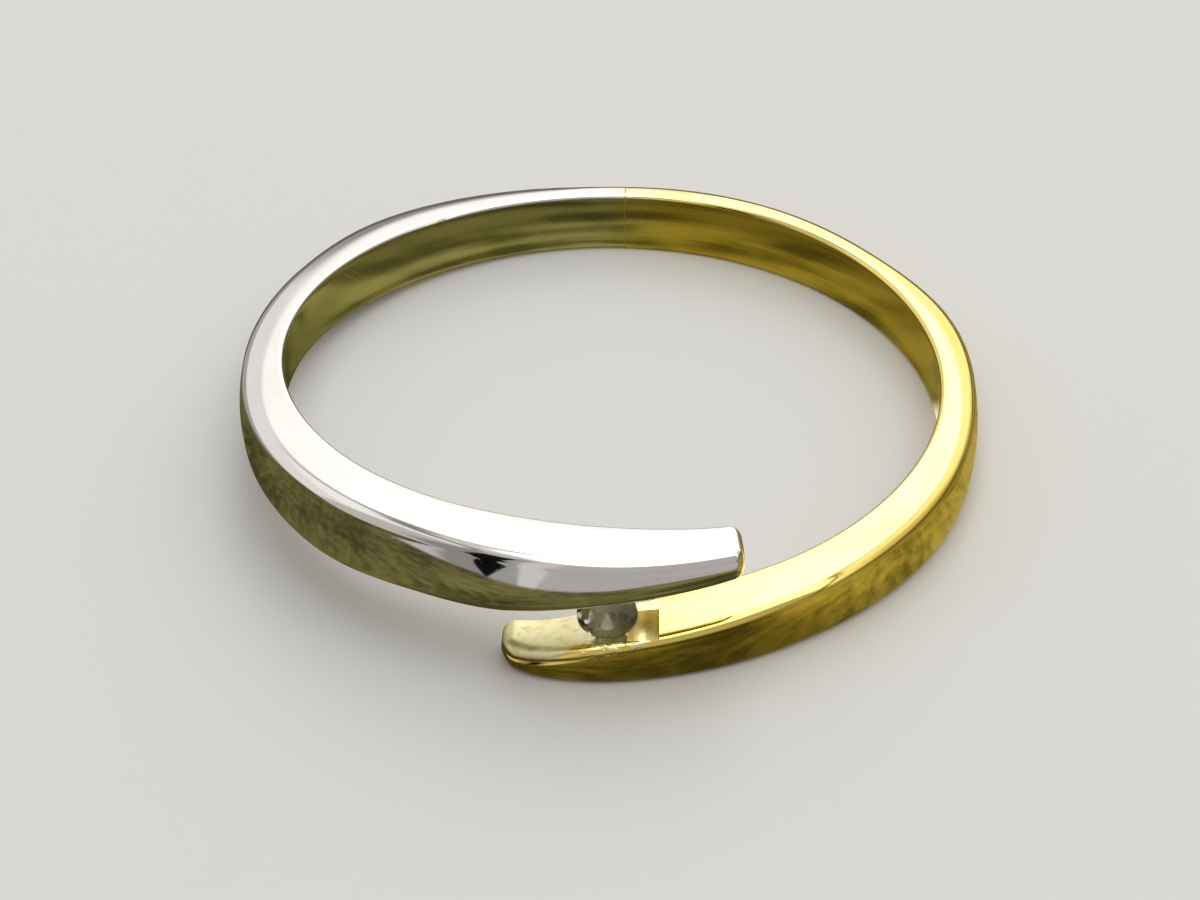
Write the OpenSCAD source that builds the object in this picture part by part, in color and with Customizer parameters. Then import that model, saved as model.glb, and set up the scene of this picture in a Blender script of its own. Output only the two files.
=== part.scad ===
// Two-tone bypass ring with one round brilliant stone.
// A white metal half and a yellow gold half meet at a soldered seam at the back. Each half
// runs round to the front as an arm. The yellow arm passes under the white one, and the stone
// stands between them with its table facing out.
// The finger's axis is +Z and the front is -Y. The yellow half lies flat on z = 0, and the
// white half rises from the back, where it just clears the floor, to the front.

/* [Ring] */
// Inside diameter, where the finger goes
inside_d = 17; // [15:0.25:20]
// Width of the band along the finger at the back
band_w = 1.78; // [1.7:0.02:2.1]
// How much the white half rises for each millimetre towards the front
rise = 0.11; // [0.1:0.005:0.13]
// Rounding of the inner edges
inner_round = 0.12; // [0.06:0.01:0.16]
// How far the outer face swells between its rounded edges
dome = 0.05; // [0:0.01:0.08]

/* [Arms] */
// Angle from the back to the tip of the white arm
white_reach = 199; // [194:0.5:202]
// Angle from the back to the tip of the yellow arm
yellow_reach = 196.3; // [192:0.1:197]
// Rounding of the arms' tips
tip_round = 0.3; // [0.2:0.02:0.32]
// How far the tips are squared to the front, in degrees for each millimetre of thickness
tip_slant = 1.6; // [0:0.1:2]
// Angle of the soldered seam from the back, towards the yellow half
seam_angle = 2.3; // [0:0.1:5]
// Solder line between the two halves
seam_gap = 0.02; // [0.01:0.005:0.05]

/* [Stone] */
// Diameter of the stone across its girdle
stone_d = 1.5; // [1.4:0.02:1.6]
// Sideways place of the stone, from the front's middle
stone_x = -0.13; // [-0.25:0.01:0.1]
// Height of the stone's middle above the floor
stone_z = 1.85; // [1.8:0.01:1.9]
// Distance of the girdle from the finger hole's wall
stone_out = 1.4; // [1.3:0.02:1.45]
// Clearance round the stone in its seat
stone_gap = 0.015; // [0.01:0.005:0.03]

/* [Seat] */
// Inner end of the seat, from the finger hole's wall
seat_in = 0.55; // [0.5:0.01:0.7]
// Outer end of the seat, from the finger hole's wall
seat_out = 1.68; // [1.66:0.01:1.72]
// Right-hand end of the pocket beside the stone
pocket_right = 1.15; // [1:0.05:1.3]
// Left-hand end of the pocket beside the stone
pocket_left = 0.35; // [0.25:0.05:0.5]
// Floor of the pocket above the ground
pocket_floor = 0.9; // [0.85:0.01:1]

/* [Hidden] */
$fn = 96;

hole_r = inside_d / 2;

// Sections of each arm, from the back to the tip, with these columns.
ANGLE = 0; // degrees from the back
LIFT = 1;  // how far the inner face stands off the finger
WALL = 2;  // thickness from the inner face to the outer one
TRIM = 3;  // taken off the side that faces the other arm, or the floor at the back
ROLL = 4;  // how far the rounding of the two outer edges reaches in
DROP = 5;  // how far that rounding reaches down the outer face

WHITE_ARM = [
    [  0, 0.00, 0.95, 0.05, 0.50, 0.50],
    [ 15, 0.00, 1.28, 0.04, 1.00, 0.50],
    [ 40, 0.00, 1.54, 0.00, 1.15, 0.50],
    [ 60, 0.00, 1.28, 0.00, 0.95, 0.50],
    [ 78, 0.00, 1.14, 0.00, 0.80, 0.46],
    [ 95, 0.00, 1.17, 0.00, 0.62, 0.42],
    [120, 0.00, 1.50, -.12, 0.38, 0.38],
    [135, 0.00, 1.64, -.22, 0.34, 0.34],
    [150, 0.00, 1.72, -.10, 0.30, 0.30],
    [165, 0.02, 1.90, 0.04, 0.28, 0.28],
    [181, 0.22, 1.86, 0.53, 0.28, 0.28],
    [199, 0.64, 1.36, 0.96, 0.26, 0.26]
];
YELLOW_ARM = [
    [  0, 0.00, 0.92, 0.00, 0.50, 0.50],
    [ 30, 0.00, 0.96, 0.00, 0.68, 0.50],
    [ 50, 0.00, 0.88, 0.00, 0.60, 0.50],
    [ 70, 0.00, 1.08, 0.00, 0.68, 0.48],
    [ 95, 0.00, 1.02, 0.00, 0.46, 0.42],
    [120, 0.00, 1.28, 0.00, 0.36, 0.36],
    [150, 0.00, 1.50, 0.18, 0.28, 0.28],
    [165, 0.02, 1.70, 0.33, 0.26, 0.26],
    [181, 0.22, 1.70, 0.62, 0.24, 0.24],
    [189, 0.35, 1.56, 0.90, 0.30, 0.27],
    [194, 0.43, 1.32, 1.05, 0.40, 0.28],
    [197, 0.48, 0.92, 1.10, 0.46, 0.28]
];

// Angle between sections, and the sections that round off a tip
STEP = 3;
TIP_STEPS = 5;
// Straight pieces in each inner and outer edge's rounding, and points across the swelling
INNER_STEPS = 3;
OUTER_STEPS = 6;
DOME_STEPS = 4;
// The bore is a true round lining, let into each arm's inner face and this little proud of it
LINING_PROUD = 0.02;
LINING_DEPTH = 0.3;
// It keeps this far from the rounded edges, and this many degrees from the seam
LINING_MARGIN = 0.06;
LINING_START = 0.3;
// It ends where the arms begin to lift off the finger
LINING_REACH = 148;
// A tip is squared over its last degrees, and this far from the finger it keeps its place
SLANT_SPAN = 8;
SLANT_HINGE = 1.3;
// At the seam the yellow arm's top falls to the outside as the white one's does, and is level
// again this many degrees from the back
LEVEL_AGAIN = 40;
// The smallest edge rounding left at a tip
LEAST_ROUND = 0.02;
BEYOND = 2;

// Proportions of a round brilliant, as shares of its diameter
TABLE = 0.56;
CROWN = 0.155;
GIRDLE = 0.035;
PAVILION = 0.43;
STAR = 0.76;
LOWER_HALF = 0.24;
MAINS = 8;

// A column of the sections as a smooth curve through its rows
function slope(rows, column, i) =
    i == 0 ? 0
    : let (j = min(i + 1, len(rows) - 1))
      (rows[j][column] - rows[i - 1][column]) / (rows[j][ANGLE] - rows[i - 1][ANGLE]);

function row_before(rows, angle, i = 0) =
    i < len(rows) - 2 && angle > rows[i + 1][ANGLE] ? row_before(rows, angle, i + 1) : i;

function size_at(rows, column, angle) =
    let (
        i = row_before(rows, angle),
        span = rows[i + 1][ANGLE] - rows[i][ANGLE],
        t = (angle - rows[i][ANGLE]) / span
    )
    (2 * pow(t, 3) - 3 * pow(t, 2) + 1) * rows[i][column]
    + (pow(t, 3) - 2 * pow(t, 2) + t) * span * slope(rows, column, i)
    + (3 * pow(t, 2) - 2 * pow(t, 3)) * rows[i + 1][column]
    + (pow(t, 3) - pow(t, 2)) * span * slope(rows, column, i + 1);

// A quarter of an oval
function arc(x, y, across, deep, from, steps) =
    [for (k = [0 : steps])
        let (a = from + 90 * k / steps)
        [x + across * cos(a), y + deep * sin(a)]];

// One section: distance from the finger hole's wall, and depth from the arm's far side.
// The inset draws every side in, for the rounded tip.
function section(rows, angle, inset) =
    let (
        lift = size_at(rows, LIFT, angle),
        inner = lift + LINING_PROUD + inset,
        outer = lift + size_at(rows, WALL, angle) - dome - inset,
        far = inset,
        near = band_w - size_at(rows, TRIM, angle) - inset,
        edge = max(inner_round - inset, LEAST_ROUND),
        roll = max(size_at(rows, ROLL, angle) - inset, LEAST_ROUND),
        drop = max(size_at(rows, DROP, angle) - inset, LEAST_ROUND)
    )
    concat(
        arc(inner + edge, far + edge, edge, edge, 180, INNER_STEPS),
        arc(outer - roll, far + drop, roll, drop, 270, OUTER_STEPS),
        [for (k = [1 : DOME_STEPS - 1])
            let (u = k / DOME_STEPS)
            [outer + dome * 4 * u * (1 - u), far + drop + (near - far - 2 * drop) * u]],
        arc(outer - roll, near - drop, roll, drop, 0, OUTER_STEPS),
        arc(inner + edge, near - edge, edge, edge, 90, INNER_STEPS)
    );

// Turns a section's points into space. The white arm's far side is its top, which rises
// towards the front, and its outer face leans with it. The yellow arm's far side is the floor.
function placed(points, angle, slant, white, lean) =
    let (fall = rise * pow(max(1 - angle / LEVEL_AGAIN, 0), 2))
    [for (p = points)
        let (
            turn = angle - slant * (p[0] - SLANT_HINGE),
            bearing = white ? 90 + turn : 90 - turn,
            r = hole_r + p[0],
            y = r * sin(bearing),
            z = white
                ? band_w + lean * (hole_r - y) - p[1]
                : p[1] * (1 - fall * max(y - hole_r, 0) / band_w),
            share = min(max(p[0], 0), 1)
        )
        [r * cos(bearing), y - lean * p[1] * share, z]];

// How far a section is turned to square the tip
function slant_at(angle, reach) =
    tip_slant * pow(max(1 - (reach - angle) / SLANT_SPAN, 0), 2);

// Angles and insets of all the sections from the seam to the tip
function stations(start, reach) =
    let (
        tip_angle = tip_round / (hole_r + 1) * 180 / PI,
        body_end = reach - tip_angle,
        n = ceil((body_end - start) / STEP)
    )
    concat(
        [for (k = [0 : n - 1]) [start + (body_end - start) * k / n, 0]],
        [for (k = [0 : TIP_STEPS])
            let (a = 90 * k / TIP_STEPS)
            [body_end + tip_angle * sin(a), tip_round * (1 - cos(a))]]
    );

// A swept arm as one closed skin
module arm(rows, start, reach, white) {
    marks = stations(start, reach);
    lean = white ? rise : 0;
    rings = [for (m = marks)
        placed(section(rows, m[0], m[1]), m[0], slant_at(m[0], reach), white, lean)];
    n = len(rings[0]);
    last = len(rings) - 1;
    points = [for (ring = rings) each ring];
    sides = [for (k = [0 : last - 1], i = [0 : n - 1])
        let (a = k * n + i, b = k * n + (i + 1) % n)
        each [[a, b + n, b], [a, a + n, b + n]]];
    start_cap = [for (i = [1 : n - 2]) [0, i, i + 1]];
    tip_cap = [for (i = [1 : n - 2]) [last * n, last * n + i + 1, last * n + i]];
    polyhedron(points = points, faces = concat(sides, start_cap, tip_cap), convexity = 6);
}

// A stretch of the round lining, from one bearing round to the next
module lining(from, to, low, tall) {
    rotate([0, 0, from])
        rotate_extrude(angle = to - from)
            translate([hole_r, low])
                square([LINING_DEPTH, tall]);
}

// The white arm's lining is upright and follows the arm as it rises
module white_lining(start) {
    tilt = atan(rise);
    side = 4 * hole_r;
    edge = inner_round + LINING_MARGIN;
    intersection() {
        lining(90 + start, 90 + LINING_REACH, -BEYOND, band_w * 2 + 2 * BEYOND);
        translate([0, hole_r, edge])
            rotate([-tilt, 0, 0])
                translate([-side / 2, -side, 0])
                    cube([side, 2 * side, (band_w - 2 * edge) * cos(tilt)]);
    }
}

// The yellow arm's lining lies level, below where the arm is trimmed
module yellow_lining(start) {
    edge = inner_round + LINING_MARGIN;
    trim = size_at(YELLOW_ARM, TRIM, LINING_REACH);
    lining(90 - LINING_REACH, 90 - start, edge, band_w - trim - 2 * edge);
}

// Round seat for the girdle, bored from the front towards the finger
module stone_seat() {
    translate([stone_x, -(hole_r + seat_in), stone_z])
        rotate([90, 0, 0])
            cylinder(d = stone_d + 2 * stone_gap, h = seat_out - seat_in);
}

// Pocket beside the stone, closed at the outer edge by a thin rim
module side_pocket() {
    translate([pocket_left, -(hole_r + seat_out), pocket_floor])
        cube([pocket_right - pocket_left, seat_out - seat_in, BEYOND]);
}

module white_half() {
    half_gap = seam_gap / 2 / hole_r * 180 / PI;
    color("#d8d9dc")
        difference() {
            union() {
                arm(WHITE_ARM, -seam_angle + half_gap, white_reach, true);
                white_lining(-seam_angle + LINING_START);
            }
            stone_seat();
        }
}

module yellow_half() {
    half_gap = seam_gap / 2 / hole_r * 180 / PI;
    color("#e2bf55")
        difference() {
            union() {
                arm(YELLOW_ARM, seam_angle + half_gap, yellow_reach, false);
                yellow_lining(seam_angle + LINING_START);
            }
            stone_seat();
            side_pocket();
        }
}

// Round brilliant with its girdle at z = 0 and its table up: a ring of points for the table,
// the crown's kites, the girdle's two edges and the pavilion's kites, then the culet
module brilliant(d) {
    r = d / 2;
    half = 180 / MAINS;
    table_z = (GIRDLE / 2 + CROWN) * d;
    edge_z = GIRDLE / 2 * d;
    culet_z = -(GIRDLE / 2 + PAVILION) * d;
    star_z = table_z - (table_z - edge_z) * (STAR * cos(half) - TABLE) / (1 - TABLE);
    lower_z = culet_z + (-edge_z - culet_z) * LOWER_HALF * cos(half);

    function ring(n, radius, z, turn) =
        [for (k = [0 : n - 1]) let (a = 360 * k / n + turn) [radius * cos(a), radius * sin(a), z]];

    points = concat(
        ring(MAINS, TABLE * r, table_z, 0),
        ring(MAINS, STAR * r, star_z, half),
        ring(2 * MAINS, r, edge_z, 0),
        ring(2 * MAINS, r, -edge_z, 0),
        ring(MAINS, LOWER_HALF * r, lower_z, half),
        [[0, 0, culet_z]]
    );
    star = MAINS;
    upper = 2 * MAINS;
    lower = 4 * MAINS;
    mid = 6 * MAINS;
    culet = 7 * MAINS;

    facets = concat(
        [[for (k = [MAINS - 1 : -1 : 0]) k]],
        [for (k = [0 : MAINS - 1])
            let (
                next = (k + 1) % MAINS,
                before = (k + MAINS - 1) % MAINS,
                g = 2 * k,
                g1 = 2 * k + 1,
                g2 = (2 * k + 2) % (2 * MAINS)
            )
            each [
                [k, next, star + k],
                [k, upper + g, star + before],
                [k, star + k, upper + g],
                [star + k, upper + g1, upper + g],
                [star + k, upper + g2, upper + g1],
                [upper + g, upper + g1, lower + g1],
                [upper + g, lower + g1, lower + g],
                [upper + g1, upper + g2, lower + g2],
                [upper + g1, lower + g2, lower + g1],
                [lower + g, lower + g1, mid + k],
                [lower + g1, lower + g2, mid + k],
                [lower + g, mid + k, mid + before],
                [culet, mid + before, mid + k]
            ]]
    );
    polyhedron(points = points, faces = facets, convexity = 2);
}

module stone() {
    color("#c9d3dc")
        translate([stone_x, -(hole_r + stone_out), stone_z])
            rotate([90, 0, 0])
                brilliant(stone_d);
}

white_half();
yellow_half();
stone();
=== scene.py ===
"""The looks of a two-tone bypass ring with one round brilliant stone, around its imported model.

The two arms are swept again at high resolution from the sizes that the solids have, the stone is
ground facet by facet, and each gets a worked finish. Lengths are millimetres until a mesh is made,
and metres after that. The finger's axis is +Z, the ring lies on z = 0 and the stone faces -Y.
"""

from __future__ import annotations

import logging
import math
from dataclasses import dataclass
from enum import Enum
from functools import reduce
from typing import Any, Iterable, Mapping, Sequence

import bmesh
import bpy
import numpy as np
from mathutils import Matrix, Vector

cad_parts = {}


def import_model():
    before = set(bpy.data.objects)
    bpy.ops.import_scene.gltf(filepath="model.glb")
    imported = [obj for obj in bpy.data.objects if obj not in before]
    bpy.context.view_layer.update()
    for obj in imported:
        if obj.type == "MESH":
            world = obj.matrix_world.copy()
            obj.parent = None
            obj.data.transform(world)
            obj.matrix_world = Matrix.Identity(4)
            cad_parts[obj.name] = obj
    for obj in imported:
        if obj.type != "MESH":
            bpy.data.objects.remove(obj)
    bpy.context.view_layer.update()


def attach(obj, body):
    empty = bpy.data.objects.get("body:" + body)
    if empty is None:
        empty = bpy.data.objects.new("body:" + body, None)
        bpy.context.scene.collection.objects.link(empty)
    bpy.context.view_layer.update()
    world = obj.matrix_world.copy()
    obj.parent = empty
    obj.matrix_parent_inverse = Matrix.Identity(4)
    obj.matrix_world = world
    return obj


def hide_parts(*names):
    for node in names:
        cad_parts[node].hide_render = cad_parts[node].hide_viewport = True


LOG = logging.getLogger("bypass_ring")
MM = 0.001

Triple = tuple[float, float, float]
Socket = bpy.types.NodeSocket


class Side(Enum):
    """Which half an arm is, and so which way it runs from the back and whether it rises."""

    WHITE = "white_half"
    YELLOW = "yellow_half"


@dataclass(frozen=True)
class Row:
    """One section of an arm: its sizes at an angle from the back of the ring.

    angle is in degrees. lift is how far the inner face stands off the finger, wall the thickness
    from there outwards, trim what is taken off the side that faces the other arm, roll how far the
    rounding of the outer edges reaches in, and drop how far it reaches down the outer face.
    """

    angle: float
    lift: float
    wall: float
    trim: float
    roll: float
    drop: float


@dataclass(frozen=True)
class BandSizes:
    """The driving sizes that both arms share, as the solids have them."""

    hole_r: float = 8.5
    width: float = 1.78
    rise: float = 0.11
    inner_round: float = 0.12
    dome: float = 0.05
    proud: float = 0.02
    tip_round: float = 0.3
    tip_slant: float = 1.6
    slant_span: float = 8.0
    slant_hinge: float = 1.3
    least_round: float = 0.02
    seam_angle: float = 2.3
    seam_gap: float = 0.02
    level_again: float = math.radians(40.0)

    @property
    def half_gap(self) -> float:
        """Half the solder line, as an angle in degrees."""
        return math.degrees(self.seam_gap / 2 / self.hole_r)

    @property
    def tip_angle(self) -> float:
        """The angle in degrees that a tip's rounding takes up."""
        return math.degrees(self.tip_round / (self.hole_r + 1))


@dataclass(frozen=True)
class StoneSizes:
    """Where the stone stands and the cuts that hold it, as the solids have them."""

    diameter: float = 1.5
    x: float = -0.13
    z: float = 1.85
    out: float = 1.4
    gap: float = 0.015
    seat_in: float = 0.55
    seat_out: float = 1.68
    pocket_right: float = 1.15
    pocket_left: float = 0.35
    pocket_floor: float = 0.9
    pocket_tall: float = 2.0


BAND = BandSizes()
STONE = StoneSizes()

WHITE_ROWS = (
    Row(0, 0.00, 0.95, 0.05, 0.50, 0.50),
    Row(15, 0.00, 1.28, 0.04, 1.00, 0.50),
    Row(40, 0.00, 1.54, 0.00, 1.15, 0.50),
    Row(60, 0.00, 1.28, 0.00, 0.95, 0.50),
    Row(78, 0.00, 1.14, 0.00, 0.80, 0.46),
    Row(95, 0.00, 1.17, 0.00, 0.62, 0.42),
    Row(120, 0.00, 1.50, -0.12, 0.38, 0.38),
    Row(135, 0.00, 1.64, -0.22, 0.34, 0.34),
    Row(150, 0.00, 1.72, -0.10, 0.30, 0.30),
    Row(165, 0.02, 1.90, 0.04, 0.28, 0.28),
    Row(181, 0.22, 1.86, 0.53, 0.28, 0.28),
    Row(199, 0.64, 1.36, 0.96, 0.26, 0.26),
)
YELLOW_ROWS = (
    Row(0, 0.00, 0.92, 0.00, 0.50, 0.50),
    Row(30, 0.00, 0.96, 0.00, 0.68, 0.50),
    Row(50, 0.00, 0.88, 0.00, 0.60, 0.50),
    Row(70, 0.00, 1.08, 0.00, 0.68, 0.48),
    Row(95, 0.00, 1.02, 0.00, 0.46, 0.42),
    Row(120, 0.00, 1.28, 0.00, 0.36, 0.36),
    Row(150, 0.00, 1.50, 0.18, 0.28, 0.28),
    Row(165, 0.02, 1.70, 0.33, 0.26, 0.26),
    Row(181, 0.22, 1.70, 0.62, 0.24, 0.24),
    Row(189, 0.35, 1.56, 0.90, 0.30, 0.27),
    Row(194, 0.43, 1.32, 1.05, 0.40, 0.28),
    Row(197, 0.48, 0.92, 1.10, 0.46, 0.28),
)


def linked(name: str, data: bpy.types.ID) -> bpy.types.Object:
    """Makes an object and links it to the scene.

    Args:
        name: The object's name.
        data: Its mesh or camera.

    Returns:
        The object.
    """
    made = bpy.data.objects.new(name, data)
    bpy.context.scene.collection.objects.link(made)
    return made


class Graph:
    """Short calls that add nodes to one shader or geometry tree and join them."""

    def __init__(self, tree: bpy.types.NodeTree) -> None:
        """Starts on a tree."""
        self.tree = tree

    def add(
        self, kind: str, inputs: Mapping[Any, Any] | None = None, **settings: Any
    ) -> bpy.types.Node:
        """Adds one node.

        Args:
            kind: The node's type name.
            inputs: What its inputs get, by name or number.
            settings: Properties to set on the node.

        Returns:
            The new node.
        """
        node = self.tree.nodes.new(kind)
        for name, value in settings.items():
            setattr(node, name, value)
        for key, value in (inputs or {}).items():
            self.feed(node.inputs[key], value)
        return node

    def feed(self, socket: Socket, value: Any) -> None:
        """Joins a socket to another one, or sets its value.

        Args:
            socket: The input to feed.
            value: An output socket, or a plain value.
        """
        if isinstance(value, Socket):
            self.tree.links.new(value, socket)
        else:
            socket.default_value = value

    def math(self, operation: str, *values: Any) -> Socket:
        """Adds a Math node on sockets or numbers and returns its result."""
        inputs = dict(enumerate(values))
        return self.add("ShaderNodeMath", inputs, operation=operation).outputs[0]

    def plus(self, first: Any, second: Any) -> Socket:
        """Adds two numbers."""
        return self.math("ADD", first, second)

    def minus(self, first: Any, second: Any) -> Socket:
        """Takes the second number from the first."""
        return self.math("SUBTRACT", first, second)

    def times(self, *values: Any) -> Socket:
        """Multiplies numbers, from the first to the last."""
        return reduce(lambda first, second: self.math("MULTIPLY", first, second), values)

    def more(self, base: Any, value: Any, factor: Any) -> Socket:
        """Adds a value times a factor to a base."""
        return self.math("MULTIPLY_ADD", value, factor, base)

    def off(self, value: Any, middle: Any) -> Socket:
        """Finds how far a value is from a middle, either way."""
        return self.math("ABSOLUTE", self.minus(value, middle))

    def vector(self, operation: str, *values: Any) -> Socket:
        """Adds a Vector Math node on sockets or triples and returns its result."""
        node = self.add("ShaderNodeVectorMath", dict(enumerate(values)), operation=operation)
        return node.outputs["Value" if operation in ("DOT_PRODUCT", "LENGTH") else "Vector"]

    def join(self, x: Any, y: Any, z: Any) -> Socket:
        """Combines three numbers into a vector."""
        return self.add("ShaderNodeCombineXYZ", {0: x, 1: y, 2: z}).outputs[0]

    def split(self, vector: Socket) -> tuple[Socket, ...]:
        """Separates a vector into its three numbers."""
        return tuple(self.add("ShaderNodeSeparateXYZ", {0: vector}).outputs)

    def between(self, low: Any, high: Any, share: Any) -> Socket:
        """Blends two numbers by a share."""
        return self.more(low, self.minus(high, low), share)

    def ranged(
        self, value: Any, start: float, stop: float, low: Any = 0.0, high: Any = 1.0
    ) -> Socket:
        """Adds a clamped, smooth Map Range node.

        Args:
            value: What is mapped.
            start: The value that gives low.
            stop: The value that gives high.
            low: The result at start.
            high: The result at stop.

        Returns:
            The result's socket.
        """
        inputs = dict(enumerate((value, start, stop, low, high)))
        return self.add("ShaderNodeMapRange", inputs, interpolation_type="SMOOTHSTEP").outputs[0]

    def mix(self, first: Any, second: Any, share: Any) -> Socket:
        """Blends two colours.

        Args:
            first: The colour at a share of 0, as a socket or a triple.
            second: The colour at a share of 1.
            share: How much of the second.

        Returns:
            The blended colour's socket.
        """
        inputs = {"Factor": share}
        for index, colour in ((6, first), (7, second)):
            inputs[index] = (*colour, 1.0) if isinstance(colour, tuple) else colour
        return self.add("ShaderNodeMix", inputs, data_type="RGBA").outputs[2]

    def scaled(self, colour: Any, factor: Any) -> Socket:
        """Makes a colour brighter or darker by a factor."""
        return self.vector("MULTIPLY", colour, self.join(factor, factor, factor))

    def noise(self, place: Any, scale: Triple, detail: float) -> Socket:
        """Adds noise with its own scale in each direction.

        Args:
            place: Where it is read.
            scale: How many of its waves a millimetre holds, in each direction.
            detail: How many finer layers it has.

        Returns:
            The height's socket.
        """
        stretched = self.vector("MULTIPLY", place, scale)
        inputs = {"Vector": stretched, "Scale": 1.0, "Detail": detail}
        return self.add("ShaderNodeTexNoise", inputs).outputs["Fac"]

    @classmethod
    def material(cls, name: str) -> tuple[bpy.types.Material, Graph, bpy.types.Node]:
        """Makes a material.

        Args:
            name: The material's name.

        Returns:
            The material, its graph and its shader.
        """
        material = bpy.data.materials.new(name)
        material.use_nodes = True
        return material, cls(material.node_tree), material.node_tree.nodes["Principled BSDF"]

    def place(self) -> Socket:
        """Reads the place on the piece in millimetres."""
        object_place = self.add("ShaderNodeTexCoord").outputs["Object"]
        return self.vector("MULTIPLY", object_place, (1 / MM,) * 3)


def smooth_column(rows: Sequence[Row], column: str, angles: np.ndarray) -> np.ndarray:
    """Reads one size of an arm on a smooth curve through its rows.

    Args:
        rows: The arm's sections, from the back to the tip.
        column: The name of a size in Row.
        angles: Where it is read, in degrees from the back.

    Returns:
        The sizes there.
    """
    values = np.array([getattr(row, column) for row in rows])
    known = np.array([row.angle for row in rows])
    last = len(rows) - 1
    after = np.minimum(np.arange(last + 1) + 1, last)
    before = np.maximum(np.arange(last + 1) - 1, 0)
    slopes = (values[after] - values[before]) / (known[after] - known[before])
    slopes[0] = 0.0
    i = np.clip(np.searchsorted(known, angles) - 1, 0, last - 1)
    span = known[i + 1] - known[i]
    t = (angles - known[i]) / span
    return (
        (2 * t**3 - 3 * t**2 + 1) * values[i]
        + (t**3 - 2 * t**2 + t) * span * slopes[i]
        + (3 * t**2 - 2 * t**3) * values[i + 1]
        + (t**3 - t**2) * span * slopes[i + 1]
    )


@dataclass(frozen=True)
class ProfilePoint:
    """One point of the section's outline, as shares of a station's sizes.

    The first three numbers say how the point's distance from the finger is made up of the inner
    face, the outer face and the inner edge's rounding, and the next two how much of the roll and
    the dome it has. The others say the same of its depth.
    """

    inner: float = 0.0
    outer: float = 0.0
    edge: float = 0.0
    roll: float = 0.0
    dome: float = 0.0
    far: float = 0.0
    near: float = 0.0
    deep_edge: float = 0.0
    drop: float = 0.0


class Profile:
    """The outline that is swept: two rounded inner edges, two rolls, a dome and the flats."""

    EDGE_STEPS = 6
    ROLL_STEPS = 18
    DOME_STEPS = 20
    FLAT_STEPS = 10
    FLAT_AFTER = (0, 3, 4)

    def points(self) -> list[ProfilePoint]:
        """Puts the outline together from its corners, with flats after three of them.

        Returns:
            Its points, once round and back to the first.
        """
        corners = [
            self.arc(180, near=False, inner=True),
            self.arc(270, near=False, inner=False),
            self.swell(),
            self.arc(0, near=True, inner=False),
            self.arc(90, near=True, inner=True),
        ]
        outline: list[ProfilePoint] = []
        for k, corner in enumerate(corners):
            outline += corner
            if k in self.FLAT_AFTER:
                outline += self.flat(corner[-1], corners[(k + 1) % len(corners)][0])
        return [*outline, outline[0]]

    def arc(self, start: float, near: bool, inner: bool) -> list[ProfilePoint]:
        """Rounds one edge by a quarter turn.

        Args:
            start: The quarter turn's first angle, in degrees.
            near: Whether the edge is on the side that faces the other arm.
            inner: Whether it is an inner edge, and else an outer one with its roll.

        Returns:
            The arc's points.
        """
        points = []
        steps = self.EDGE_STEPS if inner else self.ROLL_STEPS
        for k in range(steps + 1):
            a = math.radians(start + 90 * k / steps)
            sunk = math.sin(a) - 1 if near else math.sin(a) + 1
            if inner:
                shares = {"inner": 1, "edge": 1 + math.cos(a), "deep_edge": sunk}
            else:
                shares = {"outer": 1, "roll": math.cos(a) - 1, "drop": sunk}
            points.append(ProfilePoint(far=1 - near, near=int(near), **shares))
        return points

    def swell(self) -> list[ProfilePoint]:
        """Domes the outer face between the two rolls.

        Returns:
            The dome's points.
        """
        shares = [k / self.DOME_STEPS for k in range(1, self.DOME_STEPS)]
        return [
            ProfilePoint(outer=1, dome=4 * u * (1 - u), far=1 - u, near=u, drop=1 - 2 * u)
            for u in shares
        ]

    def flat(self, start: ProfilePoint, stop: ProfilePoint) -> list[ProfilePoint]:
        """Lists the points between two corners.

        Args:
            start: The corner before the flat.
            stop: The corner after it.

        Returns:
            The points between them, without the corners.
        """
        points = []
        for k in range(1, self.FLAT_STEPS):
            u = k / self.FLAT_STEPS
            shares = {
                name: (1 - u) * getattr(start, name) + u * getattr(stop, name)
                for name in ProfilePoint.__dataclass_fields__
            }
            points.append(ProfilePoint(**shares))
        return points


def carrier(name: str, count: int, vectors: Mapping[str, Any]) -> bpy.types.Object:
    """Makes a mesh of loose points that only carries named vectors for a geometry tree.

    Args:
        name: The object's name.
        count: How many points it has.
        vectors: Each attribute's name and its count by 3 values.

    Returns:
        The object.
    """
    mesh = bpy.data.meshes.new(name)
    mesh.vertices.add(count)
    for attribute, values in vectors.items():
        layer = mesh.attributes.new(attribute, "FLOAT_VECTOR", "POINT")
        layer.data.foreach_set("vector", np.asarray(values, np.float32).ravel())
    return linked(name, mesh)


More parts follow.
